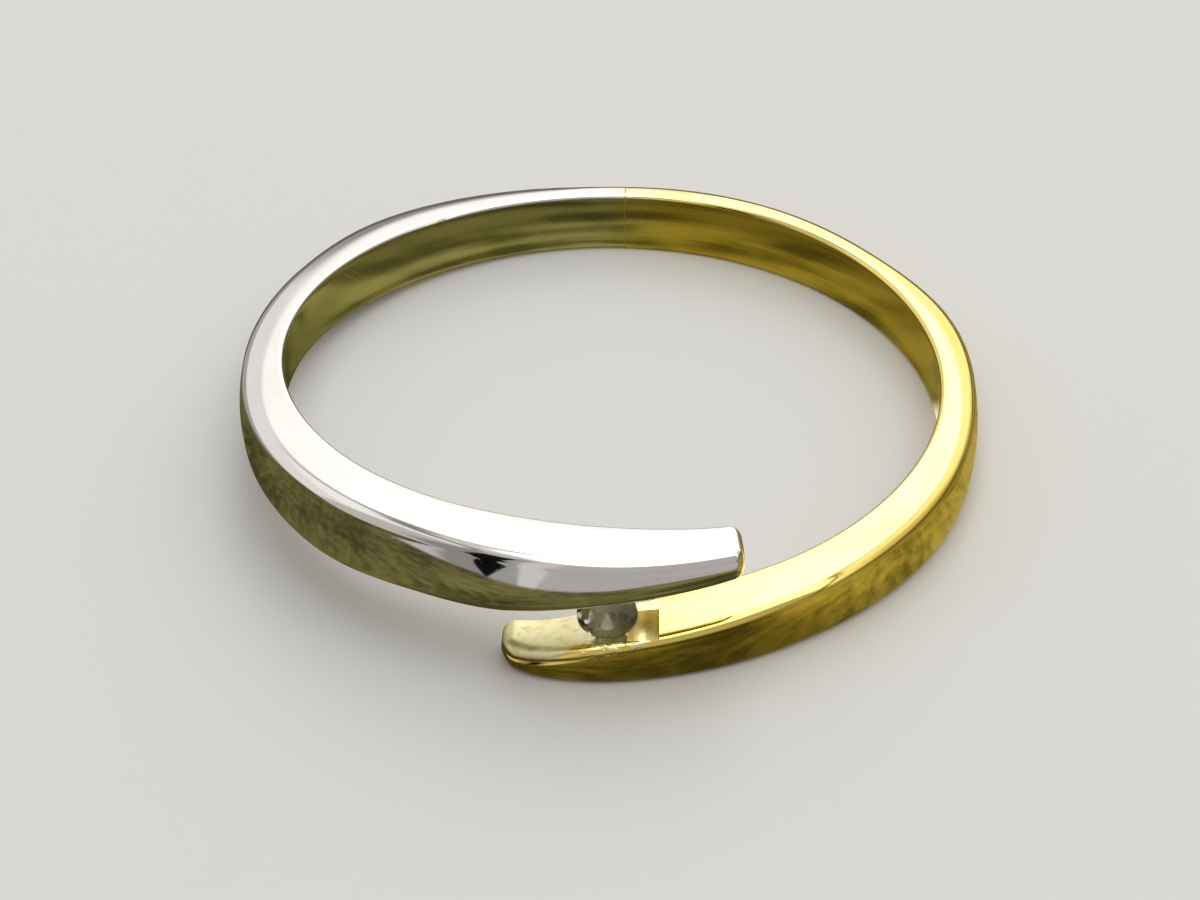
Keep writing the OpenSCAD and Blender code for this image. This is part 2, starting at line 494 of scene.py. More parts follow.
class SweepTree:
    """The geometry tree that sweeps the profile along an arm, squares its tip and cuts its seat."""

    INPUTS = (
        ("Geometry", ("Stations",)),
        ("Object", ("Profile",)),
        ("Int", ("Station count", "Profile count")),
        ("Float", ("Hole radius", "Band width", "Lean", "Fall at the seam", "Way round",
                   "Slant hinge", "Seat radius", "Seat depth")),
        ("Vector", ("Seat centre",)),
        ("Float", ("Pocket radius",)),
        ("Vector", ("Pocket floor centre", "Pocket size", "Pocket centre")),
        ("Material", ("Metal",)),
    )
    PROFILE_PARTS = ("reach", "reach_round", "depth", "depth_edge")
    CUT_SEGMENTS = 128
    MERGE = 0.0002

    def __init__(self) -> None:
        """Makes the tree with its named inputs, and keeps the identifier of each."""
        self.tree = bpy.data.node_groups.new("swept_arm", "GeometryNodeTree")
        self.graph = Graph(self.tree)
        sockets = self.tree.interface
        self.identifiers = {
            name: sockets.new_socket(name, socket_type="NodeSocket" + kind).identifier
            for kind, names in self.INPUTS
            for name in names
        }
        sockets.new_socket("Arm", in_out="OUTPUT", socket_type="NodeSocketGeometry")
        self.inputs = self.graph.add("NodeGroupInput").outputs
        self.build()

    def sampled(self, geometry: Any, attribute: str, index: Any) -> Socket:
        """Reads a named vector of a carrier at an index.

        Args:
            geometry: The carrier's geometry socket.
            attribute: The vector's name.
            index: The point's index.

        Returns:
            The vector's socket.
        """
        kind = {"data_type": "FLOAT_VECTOR"}
        named = self.graph.add("GeometryNodeInputNamedAttribute", {"Name": attribute}, **kind)
        inputs = {"Geometry": geometry, "Value": named.outputs["Attribute"], "Index": index}
        return self.graph.add("GeometryNodeSampleIndex", inputs, **kind).outputs[0]

    def build(self) -> None:
        """Adds all the nodes: the grid, each point's place, the cuts and the material."""
        g = self.graph
        along, round_it = self.inputs["Station count"], self.inputs["Profile count"]
        grid = g.add("GeometryNodeMeshGrid", {"Vertices X": along, "Vertices Y": round_it})
        index = g.add("GeometryNodeInputIndex").outputs[0]
        station = g.math("FLOOR", g.math("DIVIDE", g.plus(index, 0.5), round_it))
        outline = g.minus(index, g.times(station, round_it))
        place = self.placed(*self.section(station, outline))
        moved = g.add(
            "GeometryNodeSetPosition", {"Geometry": grid.outputs["Mesh"], "Position": place}
        )
        closed = g.add(
            "GeometryNodeMergeByDistance",
            {"Geometry": moved.outputs[0], "Distance": self.MERGE * MM},
        )
        self.finish(closed.outputs[0])

    def section(self, station: Any, outline: Any) -> tuple[Any, ...]:
        """Works out a point's distance from the finger and its depth.

        Args:
            station: The station's number along the arm.
            outline: The point's number round the profile.

        Returns:
            The distance, the depth and the station's turn vector.
        """
        g = self.graph
        shape = g.add("GeometryNodeObjectInfo", {"Object": self.inputs["Profile"]})
        faces, rounds, sides, turn = (
            self.sampled(self.inputs["Stations"], name, station)
            for name in ("faces", "rounds", "sides", "turn")
        )
        reach, reach_round, depth_part, depth_edge = (
            self.sampled(shape.outputs["Geometry"], name, outline) for name in self.PROFILE_PARTS
        )
        distance = g.plus(
            g.vector("DOT_PRODUCT", faces, reach), g.vector("DOT_PRODUCT", rounds, reach_round)
        )
        depth = g.plus(
            g.vector("DOT_PRODUCT", sides, depth_part), g.vector("DOT_PRODUCT", faces, depth_edge)
        )
        shrink = g.split(turn)[2]
        middle, centre = (g.vector("DOT_PRODUCT", v, (0.5, 0.5, 0.0)) for v in (faces, sides))
        return g.between(distance, middle, shrink), g.between(depth, centre, shrink), turn

    def placed(self, distance: Any, depth: Any, turn: Any) -> Socket:
        """Turns a section's point into its place in space.

        Args:
            distance: How far it is from the finger hole's wall.
            depth: How deep it is from the arm's far side.
            turn: The station's angle and slant, in radians.

        Returns:
            The position's socket.
        """
        g = self.graph
        angle, slant, _ = g.split(turn)
        lean, hole, width = (self.inputs[n] for n in ("Lean", "Hole radius", "Band width"))
        squared = g.times(slant, g.minus(distance, self.inputs["Slant hinge"]))
        bearing = g.plus(g.times(self.inputs["Way round"], g.minus(angle, squared)), math.pi / 2)
        radius = g.plus(hole, distance)
        x = g.times(radius, g.math("COSINE", bearing))
        y = g.times(radius, g.math("SINE", bearing))
        left = g.math("MAXIMUM", g.minus(1.0, g.math("DIVIDE", angle, BAND.level_again)), 0.0)
        fall = g.times(self.inputs["Fall at the seam"], g.times(left, left))
        past = g.math("MAXIMUM", g.minus(y, hole), 0.0)
        low = g.times(depth, g.minus(1.0, g.math("DIVIDE", g.times(fall, past), width)))
        top = g.more(width, lean, g.minus(hole, y))
        z = g.between(low, g.minus(top, depth), g.math("GREATER_THAN", lean, 0.0))
        share = g.math("MAXIMUM", g.math("MINIMUM", g.math("DIVIDE", distance, MM), 1.0), 0.0)
        return g.join(x, g.minus(y, g.times(lean, depth, share)), z)

    def tool(self, kind: str, sizes: Mapping[str, Any], centre: str, turn: float) -> Socket:
        """Makes one cutting tool.

        Args:
            kind: The node that makes it.
            sizes: What that node's inputs get.
            centre: The name of the tree's input with the tool's middle.
            turn: How far the tool is turned about +X, in radians.

        Returns:
            The tool's geometry.
        """
        place = {
            "Geometry": self.graph.add(kind, sizes).outputs["Mesh"],
            "Translation": self.inputs[centre],
            "Rotation": (turn, 0.0, 0.0),
        }
        return self.graph.add("GeometryNodeTransform", place).outputs[0]

    def finish(self, arm: Socket) -> None:
        """Cuts the seat and the pocket out of the closed arm, and sets the material.

        Args:
            arm: The closed arm's geometry.
        """
        g = self.graph
        tools = []
        for radius, centre in (
            ("Seat radius", "Seat centre"),
            ("Pocket radius", "Pocket floor centre"),
        ):
            sizes = {
                "Vertices": self.CUT_SEGMENTS,
                "Radius": self.inputs[radius],
                "Depth": self.inputs["Seat depth"],
            }
            tools.append(self.tool("GeometryNodeMeshCylinder", sizes, centre, math.pi / 2))
        mill = {"Size": self.inputs["Pocket size"]}
        tools.append(self.tool("GeometryNodeMeshCube", mill, "Pocket centre", 0.0))
        cut = g.add(
            "GeometryNodeMeshBoolean", {"Mesh 1": arm}, operation="DIFFERENCE", solver="MANIFOLD"
        )
        for tool in tools:
            self.tree.links.new(tool, cut.inputs["Mesh 2"])
        realized = g.add("GeometryNodeRealizeInstances", {0: cut.outputs["Mesh"]})
        dressing = {"Geometry": realized.outputs[0], "Material": self.inputs["Metal"]}
        metal = g.add("GeometryNodeSetMaterial", dressing)
        g.add("NodeGroupOutput", {0: metal.outputs[0]})


@dataclass
class Arm:
    """One half of the ring: an arm from the soldered seam at the back to its tip in front."""

    side: Side
    rows: Sequence[Row]
    reach: float
    pocket: bool
    step: float = 0.55
    tip_steps: int = 14
    sharp_angle: float = 38.0
    out_of_the_way: float = -10.0

    @property
    def start(self) -> float:
        """The angle of the seam's face from the back, in degrees."""
        seam = -BAND.seam_angle if self.side is Side.WHITE else BAND.seam_angle
        return seam + BAND.half_gap

    def stations(self) -> tuple[np.ndarray, np.ndarray, np.ndarray]:
        """Lists the stations along the arm.

        Returns:
            Their angles in degrees, how far each draws its section in, and how far each shrinks
            its section to its middle, which closes the two ends.
        """
        body_end = self.reach - BAND.tip_angle
        count = math.ceil((body_end - self.start) / self.step)
        body = self.start + (body_end - self.start) * np.arange(count) / count
        quarter = np.radians(90 * np.arange(self.tip_steps + 1) / self.tip_steps)
        tip = body_end + BAND.tip_angle * np.sin(quarter)
        angles = np.concatenate(([self.start], body, tip, [self.reach]))
        drawn_in = BAND.tip_round * (1 - np.cos(quarter))
        inset = np.concatenate(([0.0], np.zeros(count), drawn_in, [BAND.tip_round]))
        shrink = np.zeros(len(angles))
        shrink[[0, -1]] = 1.0
        return angles, inset, shrink

    def carriers(self) -> tuple[bpy.types.Object, bpy.types.Object]:
        """Makes the two carriers that the tree reads.

        Returns:
            The stations with their sizes in metres, and the profile with its shares.
        """
        angles, inset, shrink = self.stations()
        lift, wall, trim, roll, drop = (
            smooth_column(self.rows, name, angles)
            for name in ("lift", "wall", "trim", "roll", "drop")
        )
        inner = lift + BAND.proud + inset
        outer = lift + wall - BAND.dome - inset
        edge, roll, drop = (
            np.maximum(size - inset, BAND.least_round) for size in (BAND.inner_round, roll, drop)
        )
        near = BAND.width - trim - inset
        dome = np.full(len(angles), BAND.dome)
        share = np.maximum(1 - (self.reach - angles) / BAND.slant_span, 0)
        slant = BAND.tip_slant * share**2
        sizes = {
            "faces": np.stack([inner, outer, edge], 1) * MM,
            "rounds": np.stack([roll, dome, np.zeros(len(angles))], 1) * MM,
            "sides": np.stack([inset, near, drop], 1) * MM,
            "turn": np.stack([np.radians(angles), np.radians(slant) / MM, shrink], 1),
        }
        points = Profile().points()
        shares = {
            "reach": [(p.inner, p.outer, p.edge) for p in points],
            "reach_round": [(p.roll, p.dome, 0) for p in points],
            "depth": [(p.far, p.near, p.drop) for p in points],
            "depth_edge": [(0, 0, p.deep_edge) for p in points],
        }
        name = self.side.value
        return (
            carrier(name + "_stations", len(angles), sizes),
            carrier(name + "_profile", len(points), shares),
        )

    def cuts(self) -> dict[str, Any]:
        """Works out the seat and the pocket. The white arm's pocket lies out of the way.

        Returns:
            Their sizes in metres, under the tree's input names.
        """
        seat_depth = STONE.seat_out - STONE.seat_in
        middle_y = -(BAND.hole_r + (STONE.seat_in + STONE.seat_out) / 2)
        wide = STONE.pocket_right - STONE.pocket_left
        middle_x = STONE.pocket_left + wide / 2
        tall = STONE.pocket_tall
        away = 0.0 if self.pocket else self.out_of_the_way
        round_z = STONE.pocket_floor + wide / 2 + away
        return {
            "Seat radius": (STONE.diameter / 2 + STONE.gap) * MM,
            "Seat depth": seat_depth * MM,
            "Seat centre": (STONE.x * MM, middle_y * MM, STONE.z * MM),
            "Pocket radius": wide / 2 * MM,
            "Pocket floor centre": (middle_x * MM, middle_y * MM, round_z * MM),
            "Pocket size": (wide * MM, seat_depth * MM, tall * MM),
            "Pocket centre": (middle_x * MM, middle_y * MM, (round_z + tall / 2) * MM),
        }

    def build(self, tree: SweepTree, metal: bpy.types.Material) -> bpy.types.Object:
        """Sweeps the arm and turns it into a plain mesh.

        Args:
            tree: The sweep's geometry tree.
            metal: The arm's finish.

        Returns:
            The finished piece.
        """
        stations, profile = self.carriers()
        modifier = stations.modifiers.new("sweep", "NODES")
        modifier.node_group = tree.tree
        white = self.side is Side.WHITE
        values: dict[str, Any] = {
            "Profile": profile,
            "Station count": len(stations.data.vertices),
            "Profile count": len(profile.data.vertices),
            "Hole radius": BAND.hole_r * MM,
            "Band width": BAND.width * MM,
            "Lean": BAND.rise if white else 0.0,
            "Fall at the seam": 0.0 if white else BAND.rise,
            "Way round": 1.0 if white else -1.0,
            "Slant hinge": BAND.slant_hinge * MM,
            "Metal": metal,
            **self.cuts(),
        }
        for name, value in values.items():
            modifier[tree.identifiers[name]] = value
        bpy.context.view_layer.update()
        graph = bpy.context.evaluated_depsgraph_get()
        mesh = bpy.data.meshes.new_from_object(stations.evaluated_get(graph))
        mesh.name = self.side.value + "_metal"
        for helper in (stations, profile):
            bpy.data.objects.remove(helper)
        tidy_mesh(mesh, self.sharp_angle)
        mesh.materials.clear()
        mesh.materials.append(metal)
        return linked(self.side.value + "_metal", mesh)


def tidy_mesh(mesh: bpy.types.Mesh, sharp_angle: float) -> None:
    """Turns all faces outwards and smooths them, up to the sharp edges.

    Args:
        mesh: The mesh to tidy.
        sharp_angle: The angle in degrees past which an edge stays sharp.
    """
    work = bmesh.new()
    work.from_mesh(mesh)
    bmesh.ops.dissolve_degenerate(work, dist=0.0001 * MM, edges=work.edges)
    bmesh.ops.recalc_face_normals(work, faces=work.faces)
    for face in work.faces:
        face.smooth = True
    work.to_mesh(mesh)
    work.free()
    mesh.set_sharp_from_angle(angle=math.radians(sharp_angle))
    mesh.update()


@dataclass(frozen=True)
class Facet:
    """One kind of facet: how many there are, how steep they are and where they lie.

    slope is the angle in degrees between the facet and the girdle's plane, above it for the crown
    and below it for the pavilion. turn is the first one's bearing as a share of a main facet's
    step, and reach the distance from the stone's centre at which its plane meets the girdle's
    plane, as a share of the radius.
    """

    count: int
    slope: float
    turn: float
    reach: float
    crown: bool


@dataclass
class Brilliant:
    """The stone: a round brilliant, ground from a round blank one plane at a time."""

    sizes: StoneSizes = STONE
    mains: int = 8
    table: float = 0.56
    crown: float = 0.155
    girdle: float = 0.035
    pavilion: float = 0.43
    segments: int = 96

    def facets(self) -> list[Facet]:
        """Works out the facets' slopes from the cut's proportions.

        Returns:
            The kinds of facets, from the crown's mains to the pavilion's halves.
        """
        crown_slope = math.degrees(math.atan(self.crown * 2 / (1 - self.table)))
        pavilion_slope = math.degrees(math.atan(self.pavilion * 2))
        return [
            Facet(self.mains, crown_slope, 0.0, 1.0, True),
            Facet(2 * self.mains, crown_slope + 6.5, 0.25, 1.012, True),
            Facet(self.mains, crown_slope - 12.0, 0.5, 1.10, True),
            Facet(self.mains, pavilion_slope, 0.0, 1.0, False),
            Facet(2 * self.mains, pavilion_slope + 1.6, 0.25, 1.008, False),
        ]

    def build(self, glass: bpy.types.Material) -> bpy.types.Object:
        """Cuts the stone and sets it in its place.

        Args:
            glass: The stone's finish.

        Returns:
            The finished piece.
        """
        radius = self.sizes.diameter / 2
        half_girdle = self.girdle * self.sizes.diameter / 2
        top = half_girdle + self.crown * self.sizes.diameter
        work = bmesh.new()
        blank = {"radius1": radius, "radius2": radius, "depth": 4 * radius}
        bmesh.ops.create_cone(work, cap_ends=True, segments=self.segments, **blank)
        for facet in self.facets():
            up = 1.0 if facet.crown else -1.0
            slope = math.radians(facet.slope)
            level, rise = math.sin(slope), up * math.cos(slope)
            for k in range(facet.count):
                bearing = 2 * math.pi * (k / facet.count + facet.turn / self.mains)
                x, y = math.cos(bearing), math.sin(bearing)
                foot = Vector((x, y, 0)) * radius * facet.reach
                foot.z = up * half_girdle
                self.grind(work, foot, Vector((level * x, level * y, rise)))
        self.grind(work, Vector((0, 0, top)), Vector((0, 0, 1)))
        turned = Matrix.Rotation(math.pi / 2, 4, "X")
        place = Vector((self.sizes.x, -(BAND.hole_r + self.sizes.out), self.sizes.z))
        work.transform(Matrix.Scale(MM, 4) @ Matrix.Translation(place) @ turned)
        bmesh.ops.recalc_face_normals(work, faces=work.faces)
        mesh = bpy.data.meshes.new("brilliant")
        work.to_mesh(mesh)
        work.free()
        mesh.materials.append(glass)
        return linked("brilliant", mesh)

    @staticmethod
    def grind(work: bmesh.types.BMesh, point: Vector, normal: Vector) -> None:
        """Grinds away all that lies past one plane and closes the flat that it leaves.

        Args:
            work: The stone so far.
            point: A point on the plane.
            normal: The plane's outward normal.
        """
        geometry = [*work.verts, *work.edges, *work.faces]
        plane = {"plane_co": point, "plane_no": normal, "clear_outer": True}
        cut = bmesh.ops.bisect_plane(work, geom=geometry, dist=1e-6, **plane)["geom_cut"]
        edges = [e for e in cut if isinstance(e, bmesh.types.BMEdge) and e.is_boundary]
        if edges:
            bmesh.ops.contextual_create(work, geom=edges)


@dataclass
class Place:
    """A place on a piece or the ground, as sockets in millimetres.

    whole is the place as a vector, and radius its distance from the finger's axis.
    """

    whole: Any
    x: Any
    y: Any
    z: Any
    radius: Any


@dataclass(frozen=True)
class MetalFinish:
    """A polished precious metal with the fine wear of a ring that has been handled.

    deep is the colour where the polish has gone off. roughness and haze are the least of it and
    how much the worn places add. relief and bump say how strong and how high the fine waviness is,
    waves and streaks how many of its waves and of the bore's lines a millimetre holds, and seed
    sets two metals apart. solder is the colour of the joint at the back, which shows from
    solder_lead before the seam to solder_reach past it, in degrees.
    """

    name: str
    colour: Triple
    deep: Triple
    roughness: float
    relief: float
    seed: float
    haze: float = 0.04
    bump: float = 0.006
    waves: Triple = (0.35, 0.9, 0.9)
    streaks: Triple = (0.30, 11.0, 11.0)
    scratch: Triple = (0.35, 9.0, 9.0)
    solder: Triple = (0.97, 0.86, 0.52)
    solder_lead: float = 3.5
    solder_reach: float = 11.0

    def build(self) -> bpy.types.Material:
        """Makes the metal's material.

        Returns:
            The material.
        """
        material, g, shader = Graph.material(self.name)
        place = g.place()
        x, y, z = g.split(place)
        radius = g.math("SQRT", g.plus(g.times(x, x), g.times(y, y)))
        at = Place(place, x, y, z, radius)
        along = g.times(g.math("ARCTAN2", x, g.times(y, -1.0)), BAND.hole_r + 1)
        band = g.join(along, g.plus(z, self.seed), radius)
        cloud = g.noise(band, self.waves, 1.0)
        drawn = g.noise(band, self.streaks, 3.0)
        inside = g.ranged(radius, BAND.hole_r + 0.03, BAND.hole_r + 0.15, 1.0, 0.0)
        rubbed = self.scratches(g, place)
        worn = g.ranged(cloud, 0.3, 0.75)
        tint = g.mix(g.mix(self.colour, self.deep, worn), self.solder, self.joint(g, at))
        rough = g.between(self.roughness, self.roughness + self.haze, worn)
        rough = g.more(g.more(rough, rubbed, 0.08), inside, 0.02)
        height = g.more(g.times(cloud, 0.8), g.times(drawn, inside), 0.9)
        height = g.more(height, rubbed, -0.4)
        tint, rough, height = self.dressed(g, at, (tint, rough, height))
        bump = {"Strength": self.relief, "Distance": self.bump * MM, "Height": height}
        g.feed(shader.inputs["Normal"], g.add("ShaderNodeBump", bump).outputs["Normal"])
        g.feed(shader.inputs["Base Color"], tint)
        g.feed(shader.inputs["Roughness"], rough)
        shader.inputs["Metallic"].default_value = 1.0
        return material

    def dressed(self, g: Graph, at: Place, skin: tuple[Any, Any, Any]) -> tuple[Any, Any, Any]:
        """Leaves the polished skin's colour, roughness and height as they are."""
        return skin

    def joint(self, g: Graph, at: Place) -> Socket:
        """Finds the soldered joint at the back.

        Args:
            g: The material's graph.
            at: The place.

        Returns:
            How much the place belongs to the joint.
        """
        past = g.minus(g.math("DEGREES", g.math("ARCTAN2", at.x, at.y)), BAND.seam_angle)
        fading = g.ranged(past, 0.0, self.solder_reach, 0.85, 0.0)
        return g.times(fading, g.ranged(past, -self.solder_lead, 0.0))

    def scratches(self, g: Graph, place: Any) -> Socket:
        """Adds two families of fine crossing scratches.

        Args:
            g: The material's graph.
            place: The place in millimetres.

        Returns:
            How much the place belongs to a scratch.
        """
        found: list[Socket] = []
        for turn in (0.5, 2.2):
            mapping = {"Vector": place, "Rotation": (turn * 0.6, turn * 0.3, turn)}
            turned = g.add("ShaderNodeMapping", mapping).outputs[0]
            found.append(g.ranged(g.noise(turned, self.scratch, 1.0), 0.66, 0.72))
        return g.math("MAXIMUM", *found)


@dataclass(frozen=True)
class GoldFinish(MetalFinish):
    """Yellow gold, with a satin, blotchy tip beside the stone and dents on the rim there, each with
    a painted highlight.

    pale and dull are the satin skin's two colours, paler than the gold, which paint a highlight on
    its upward faces and in the pocket; the third colour is the dents' paler tint, which paints a
    highlight on them. pits, blotches and dents say how many of each a millimetre holds. top_rise
    and top_height say how high the arm's top is beside the stone, tip_back how far back the tip
    reaches, and pocket_back the pocket.
    """

    pale: Triple = (1.0, 0.97, 0.62)
    dull: Triple = (0.92, 0.81, 0.40)
    nick_highlight: Triple = (1.0, 0.92, 0.50)
    pits: Triple = (9.0, 9.0, 9.0)
    blotches: Triple = (3.0, 5.5, 5.5)
    dents: Triple = (3.4, 6.0, 6.0)
    top_rise: float = 0.152
    top_height: float = 1.12
    tip_back: float = -5.0
    pocket_back: float = -9.0

    def dressed(self, g: Graph, at: Place, skin: tuple[Any, Any, Any]) -> tuple[Any, Any, Any]:
        """Adds the satin tip and the dents, each with its painted highlight.

        Args:
            g: The material's graph.
            at: The place.
            skin: The polished skin's colour, roughness and height.

        Returns:
            The same three with the tip and the dents.
        """
        tint, rough, height = skin
        satin_and_sheen = self.tip_skin(g, at)
        pits = g.noise(at.whole, self.pits, 4.0)
        rough = g.between(rough, g.ranged(pits, 0.3, 0.7, 0.38, 0.56), satin_and_sheen)
        height = g.more(height, g.times(pits, satin_and_sheen), 3.2)
        # painted highlight: the pale and dull colours, paler than the gold, stand in for the light
        # that the satin tip catches on its upward faces and in the pocket
        blotch = g.noise(at.whole, self.blotches, 4.0)
        mottled_sheen = g.mix(self.pale, self.dull, g.ranged(blotch, 0.46, 0.68))
        tint = g.mix(tint, mottled_sheen, g.times(satin_and_sheen, 0.9))
        # painted highlight: the dents' paler tint makes them bright, beside their real roughness
        # and bumps
        dent_and_glint = self.rim_dents_and_glints(g, at)
        return g.mix(tint, self.nick_highlight, dent_and_glint), g.more(rough, dent_and_glint, 0.25), g.more(height, dent_and_glint, 9.0)

    def above_top(self, g: Graph, at: Place) -> Socket:
        """Finds how far a place is above the arm's top beside the stone."""
        return g.minus(at.z, g.more(self.top_height, at.x, self.top_rise))

    def tip_skin(self, g: Graph, at: Place) -> Socket:
        """Finds the tip's satin face and the pocket, which get a painted highlight.

        Args:
            g: The material's graph.
            at: The place.

        Returns:
            How much the place belongs to them.
        """
        left = g.ranged(at.x, STONE.pocket_right + 0.02, STONE.pocket_right - 0.06)
        left = g.times(left, g.ranged(at.x, STONE.x + 0.3, STONE.x - 0.7, 0.75, 1.0))
        front = g.math("LESS_THAN", at.y, self.tip_back)
        rim = g.ranged(at.x, STONE.x - 0.4, STONE.x - 1.6, 1.5, 1.82)
        past = g.minus(g.minus(at.radius, BAND.hole_r), rim)
        above = self.above_top(g, at)
        high = g.math("MAXIMUM", g.ranged(above, -0.34, -0.14), g.ranged(at.x, -1.4, -0.6))
        face = g.times(g.ranged(past, 0.2, 0.0), high)
        normal = g.add("ShaderNodeTexCoord").outputs["Normal"]
        # upward faces, where the paler tint paints a highlight
        upward = g.ranged(g.split(normal)[2], 0.15, 0.45)
        in_front = g.math("LESS_THAN", at.y, self.pocket_back)
        pocket = g.times(in_front, g.math("GREATER_THAN", at.x, STONE.x))
        return g.times(left, front, face, g.math("MAXIMUM", upward, pocket))

    def rim_dents_and_glints(self, g: Graph, at: Place) -> Socket:
        """Finds the small dents on the rim in front of the stone, which a paler tint paints bright.

        Args:
            g: The material's graph.
            at: The place.

        Returns:
            How much the place belongs to the dents and their painted highlight.
        """
        rim = g.ranged(self.above_top(g, at), -0.24, -0.12)
        beside = g.ranged(g.off(at.x, STONE.x + 0.1), 0.95, 0.6)
        outside = g.ranged(at.y, -(BAND.hole_r + 1.40), -(BAND.hole_r + 1.50))
        hollows = g.noise(at.whole, self.dents, 2.0)
        return g.times(beside, outside, rim, g.ranged(hollows, 0.50, 0.56))


@dataclass(frozen=True)
class StoneFinish:
    """Clear cubic zirconia with a trace of haze and an olive tint that paints the dark olive ground
    seen through it, and small bright chips at its left edge.

    clear and haze are the least and the most roughness and edge the chips' own. film and chips say
    how many waves of haze and how many chips a millimetre holds, and unchipped how large a share
    of the left edge stays clear.
    """

    name: str = "cubic_zirconia"
    # painted reflection: the olive tint stands in for dark olive ground seen through the clear
    # stone
    colour: Triple = (0.59, 0.555, 0.37)
    chip_colour: Triple = (1.0, 0.99, 0.95)
    ior: float = 2.16
    clear: float = 0.20
    haze: float = 0.50
    film: float = 1.8
    chips: float = 6.5
    unchipped: float = 0.42
    edge: float = 0.05

    def build(self) -> bpy.types.Material:
        """Makes the stone's material.

        Returns:
            The material.
        """
        material, g, shader = Graph.material(self.name)
        shader.inputs["IOR"].default_value = self.ior
        shader.inputs["Transmission Weight"].default_value = 1.0
        coordinates = g.add("ShaderNodeTexCoord")
        place, normal = coordinates.outputs["Object"], coordinates.outputs["Normal"]
        film = {"Vector": place, "Scale": self.film / MM, "Detail": 3.0}
        haze = g.add("ShaderNodeTexNoise", film).outputs["Fac"]
        rough = g.ranged(haze, 0.35, 0.7, self.clear, self.haze)
        left = g.ranged(g.split(place)[0], (STONE.x - 0.28) * MM, (STONE.x - 0.48) * MM)
        g.feed(shader.inputs["Roughness"], g.between(rough, self.edge, left))
        cells = g.add("ShaderNodeTexVoronoi", {"Vector": place, "Scale": self.chips / MM})
        red, green, blue = g.split(cells.outputs["Color"])
        chipped = g.times(left, g.math("GREATER_THAN", red, self.unchipped))
        chip = g.join(g.more(-0.35, green, 0.7), -0.66, g.more(0.5, blue, 0.7))
        tilt = g.scaled(g.vector("SUBTRACT", chip, normal), chipped)
        facing = g.vector("NORMALIZE", g.vector("ADD", normal, tilt))
        g.feed(shader.inputs["Normal"], facing)
        g.feed(shader.inputs["Metallic"], chipped)
        g.feed(shader.inputs["Base Color"], g.mix(self.colour, self.chip_colour, chipped))
        return material


@dataclass(frozen=True)
class Patch:
    """One soft-edged part of the light tent, as the ring's polished faces mirror it.

    bearing is its middle in degrees from the back towards the right, and elevation above the
    floor. wide and tall are half its size in degrees. corners is 2 for an oval and more for a
    squarer sheet, and soft the share of its size over which its edge fades.
    """

    bearing: float
    elevation: float
    wide: float
    tall: float
    corners: float
    soft: float
    colour: Triple
    strength: float

    @property
    def glow(self) -> Triple:
        """Its colour at its strength."""
        return tuple(part * self.strength for part in self.colour)


SHEET_STEP = 6.0
TENT_BASE = 1.85
FRONT_SHEETS = (
    Patch(-104, 0, 15, 46, 6, 0.20, (1.00, 0.97, 0.92), 0.52),
    Patch(-127, 0, 10, 44, 6, 0.40, (1.00, 0.96, 0.92), 0.26),
    Patch(-144, 0, 5.2, 44, 6, 0.12, (1.00, 0.98, 0.93), 0.34),
    Patch(-153.5, 0, 4.6, 44, 6, 0.24, (1.00, 0.98, 0.95), 0.60),
)
TENT_PATCHES = (
    Patch(174, 0, 56, 50, 9, 0.05, (1.00, 0.95, 0.92), 0.46),
    Patch(-70, 20, 85, 50, 3, 0.10, (1.00, 0.96, 0.86), 0.62),
    Patch(-74, 20, 53, 39, 4, 0.05, (1.00, 0.92, 0.84), 0.24),
    Patch(-74, 20, 50, 33.5, 4, 0.06, (1.00, 0.98, 0.93), 0.95),
    Patch(-52, 0, 48, 34, 4, 0.10, (1.00, 0.985, 0.96), 0.80),
    Patch(62, 0, 59, 64.5, 2, 0.02, (0.60, 0.42, 0.18), 0.35),
    Patch(62, 0, 56, 62, 2, 0.02, (1.00, 0.98, 0.93), 1.20),
    Patch(-5, 0, 9.5, 12, 2, 0.40, (1.00, 0.98, 0.94), 0.28),
    Patch(-1, 22, 7, 16, 2, 0.50, (1.00, 0.985, 0.94), 1.10),
    Patch(4, 46, 16, 18, 2, 0.35, (1.00, 1.00, 0.99), 3.00),
    Patch(8, 16, 5, 10, 2, 0.40, (1.00, 1.00, 0.99), 2.00),
    Patch(80, 20, 26, 26, 2, 0.50, (1.00, 0.93, 0.75), 0.66),
    Patch(82, 0, 40, 20, 2, 0.40, (0.90, 0.78, 0.30), 0.18),
    *FRONT_SHEETS,
    Patch(-138.3, 0, 6.4, 34, 8, 0.05, (1.0, 1.0, 1.0), 0.008),
)


@dataclass(frozen=True)
class PaintedDarkGap:
    """A painted dark reflection: the dark gap between the pale sheets painted on the card, seen as
    a wedge from two feet.

    foot and half give its edges near the ring, far_foot and far_half those further off, and blur
    how far they fade, in degrees.
    """

    bearing: float = -139.8
    foot: tuple[float, float] = (-7.9, -15.4)
    half: float = 12.5
    far_foot: tuple[float, float] = (-3.0, -9.95)
    far_half: float = 6.6
    blur: float = 0.3
    colour: Triple = (0.004, 0.004, 0.004)


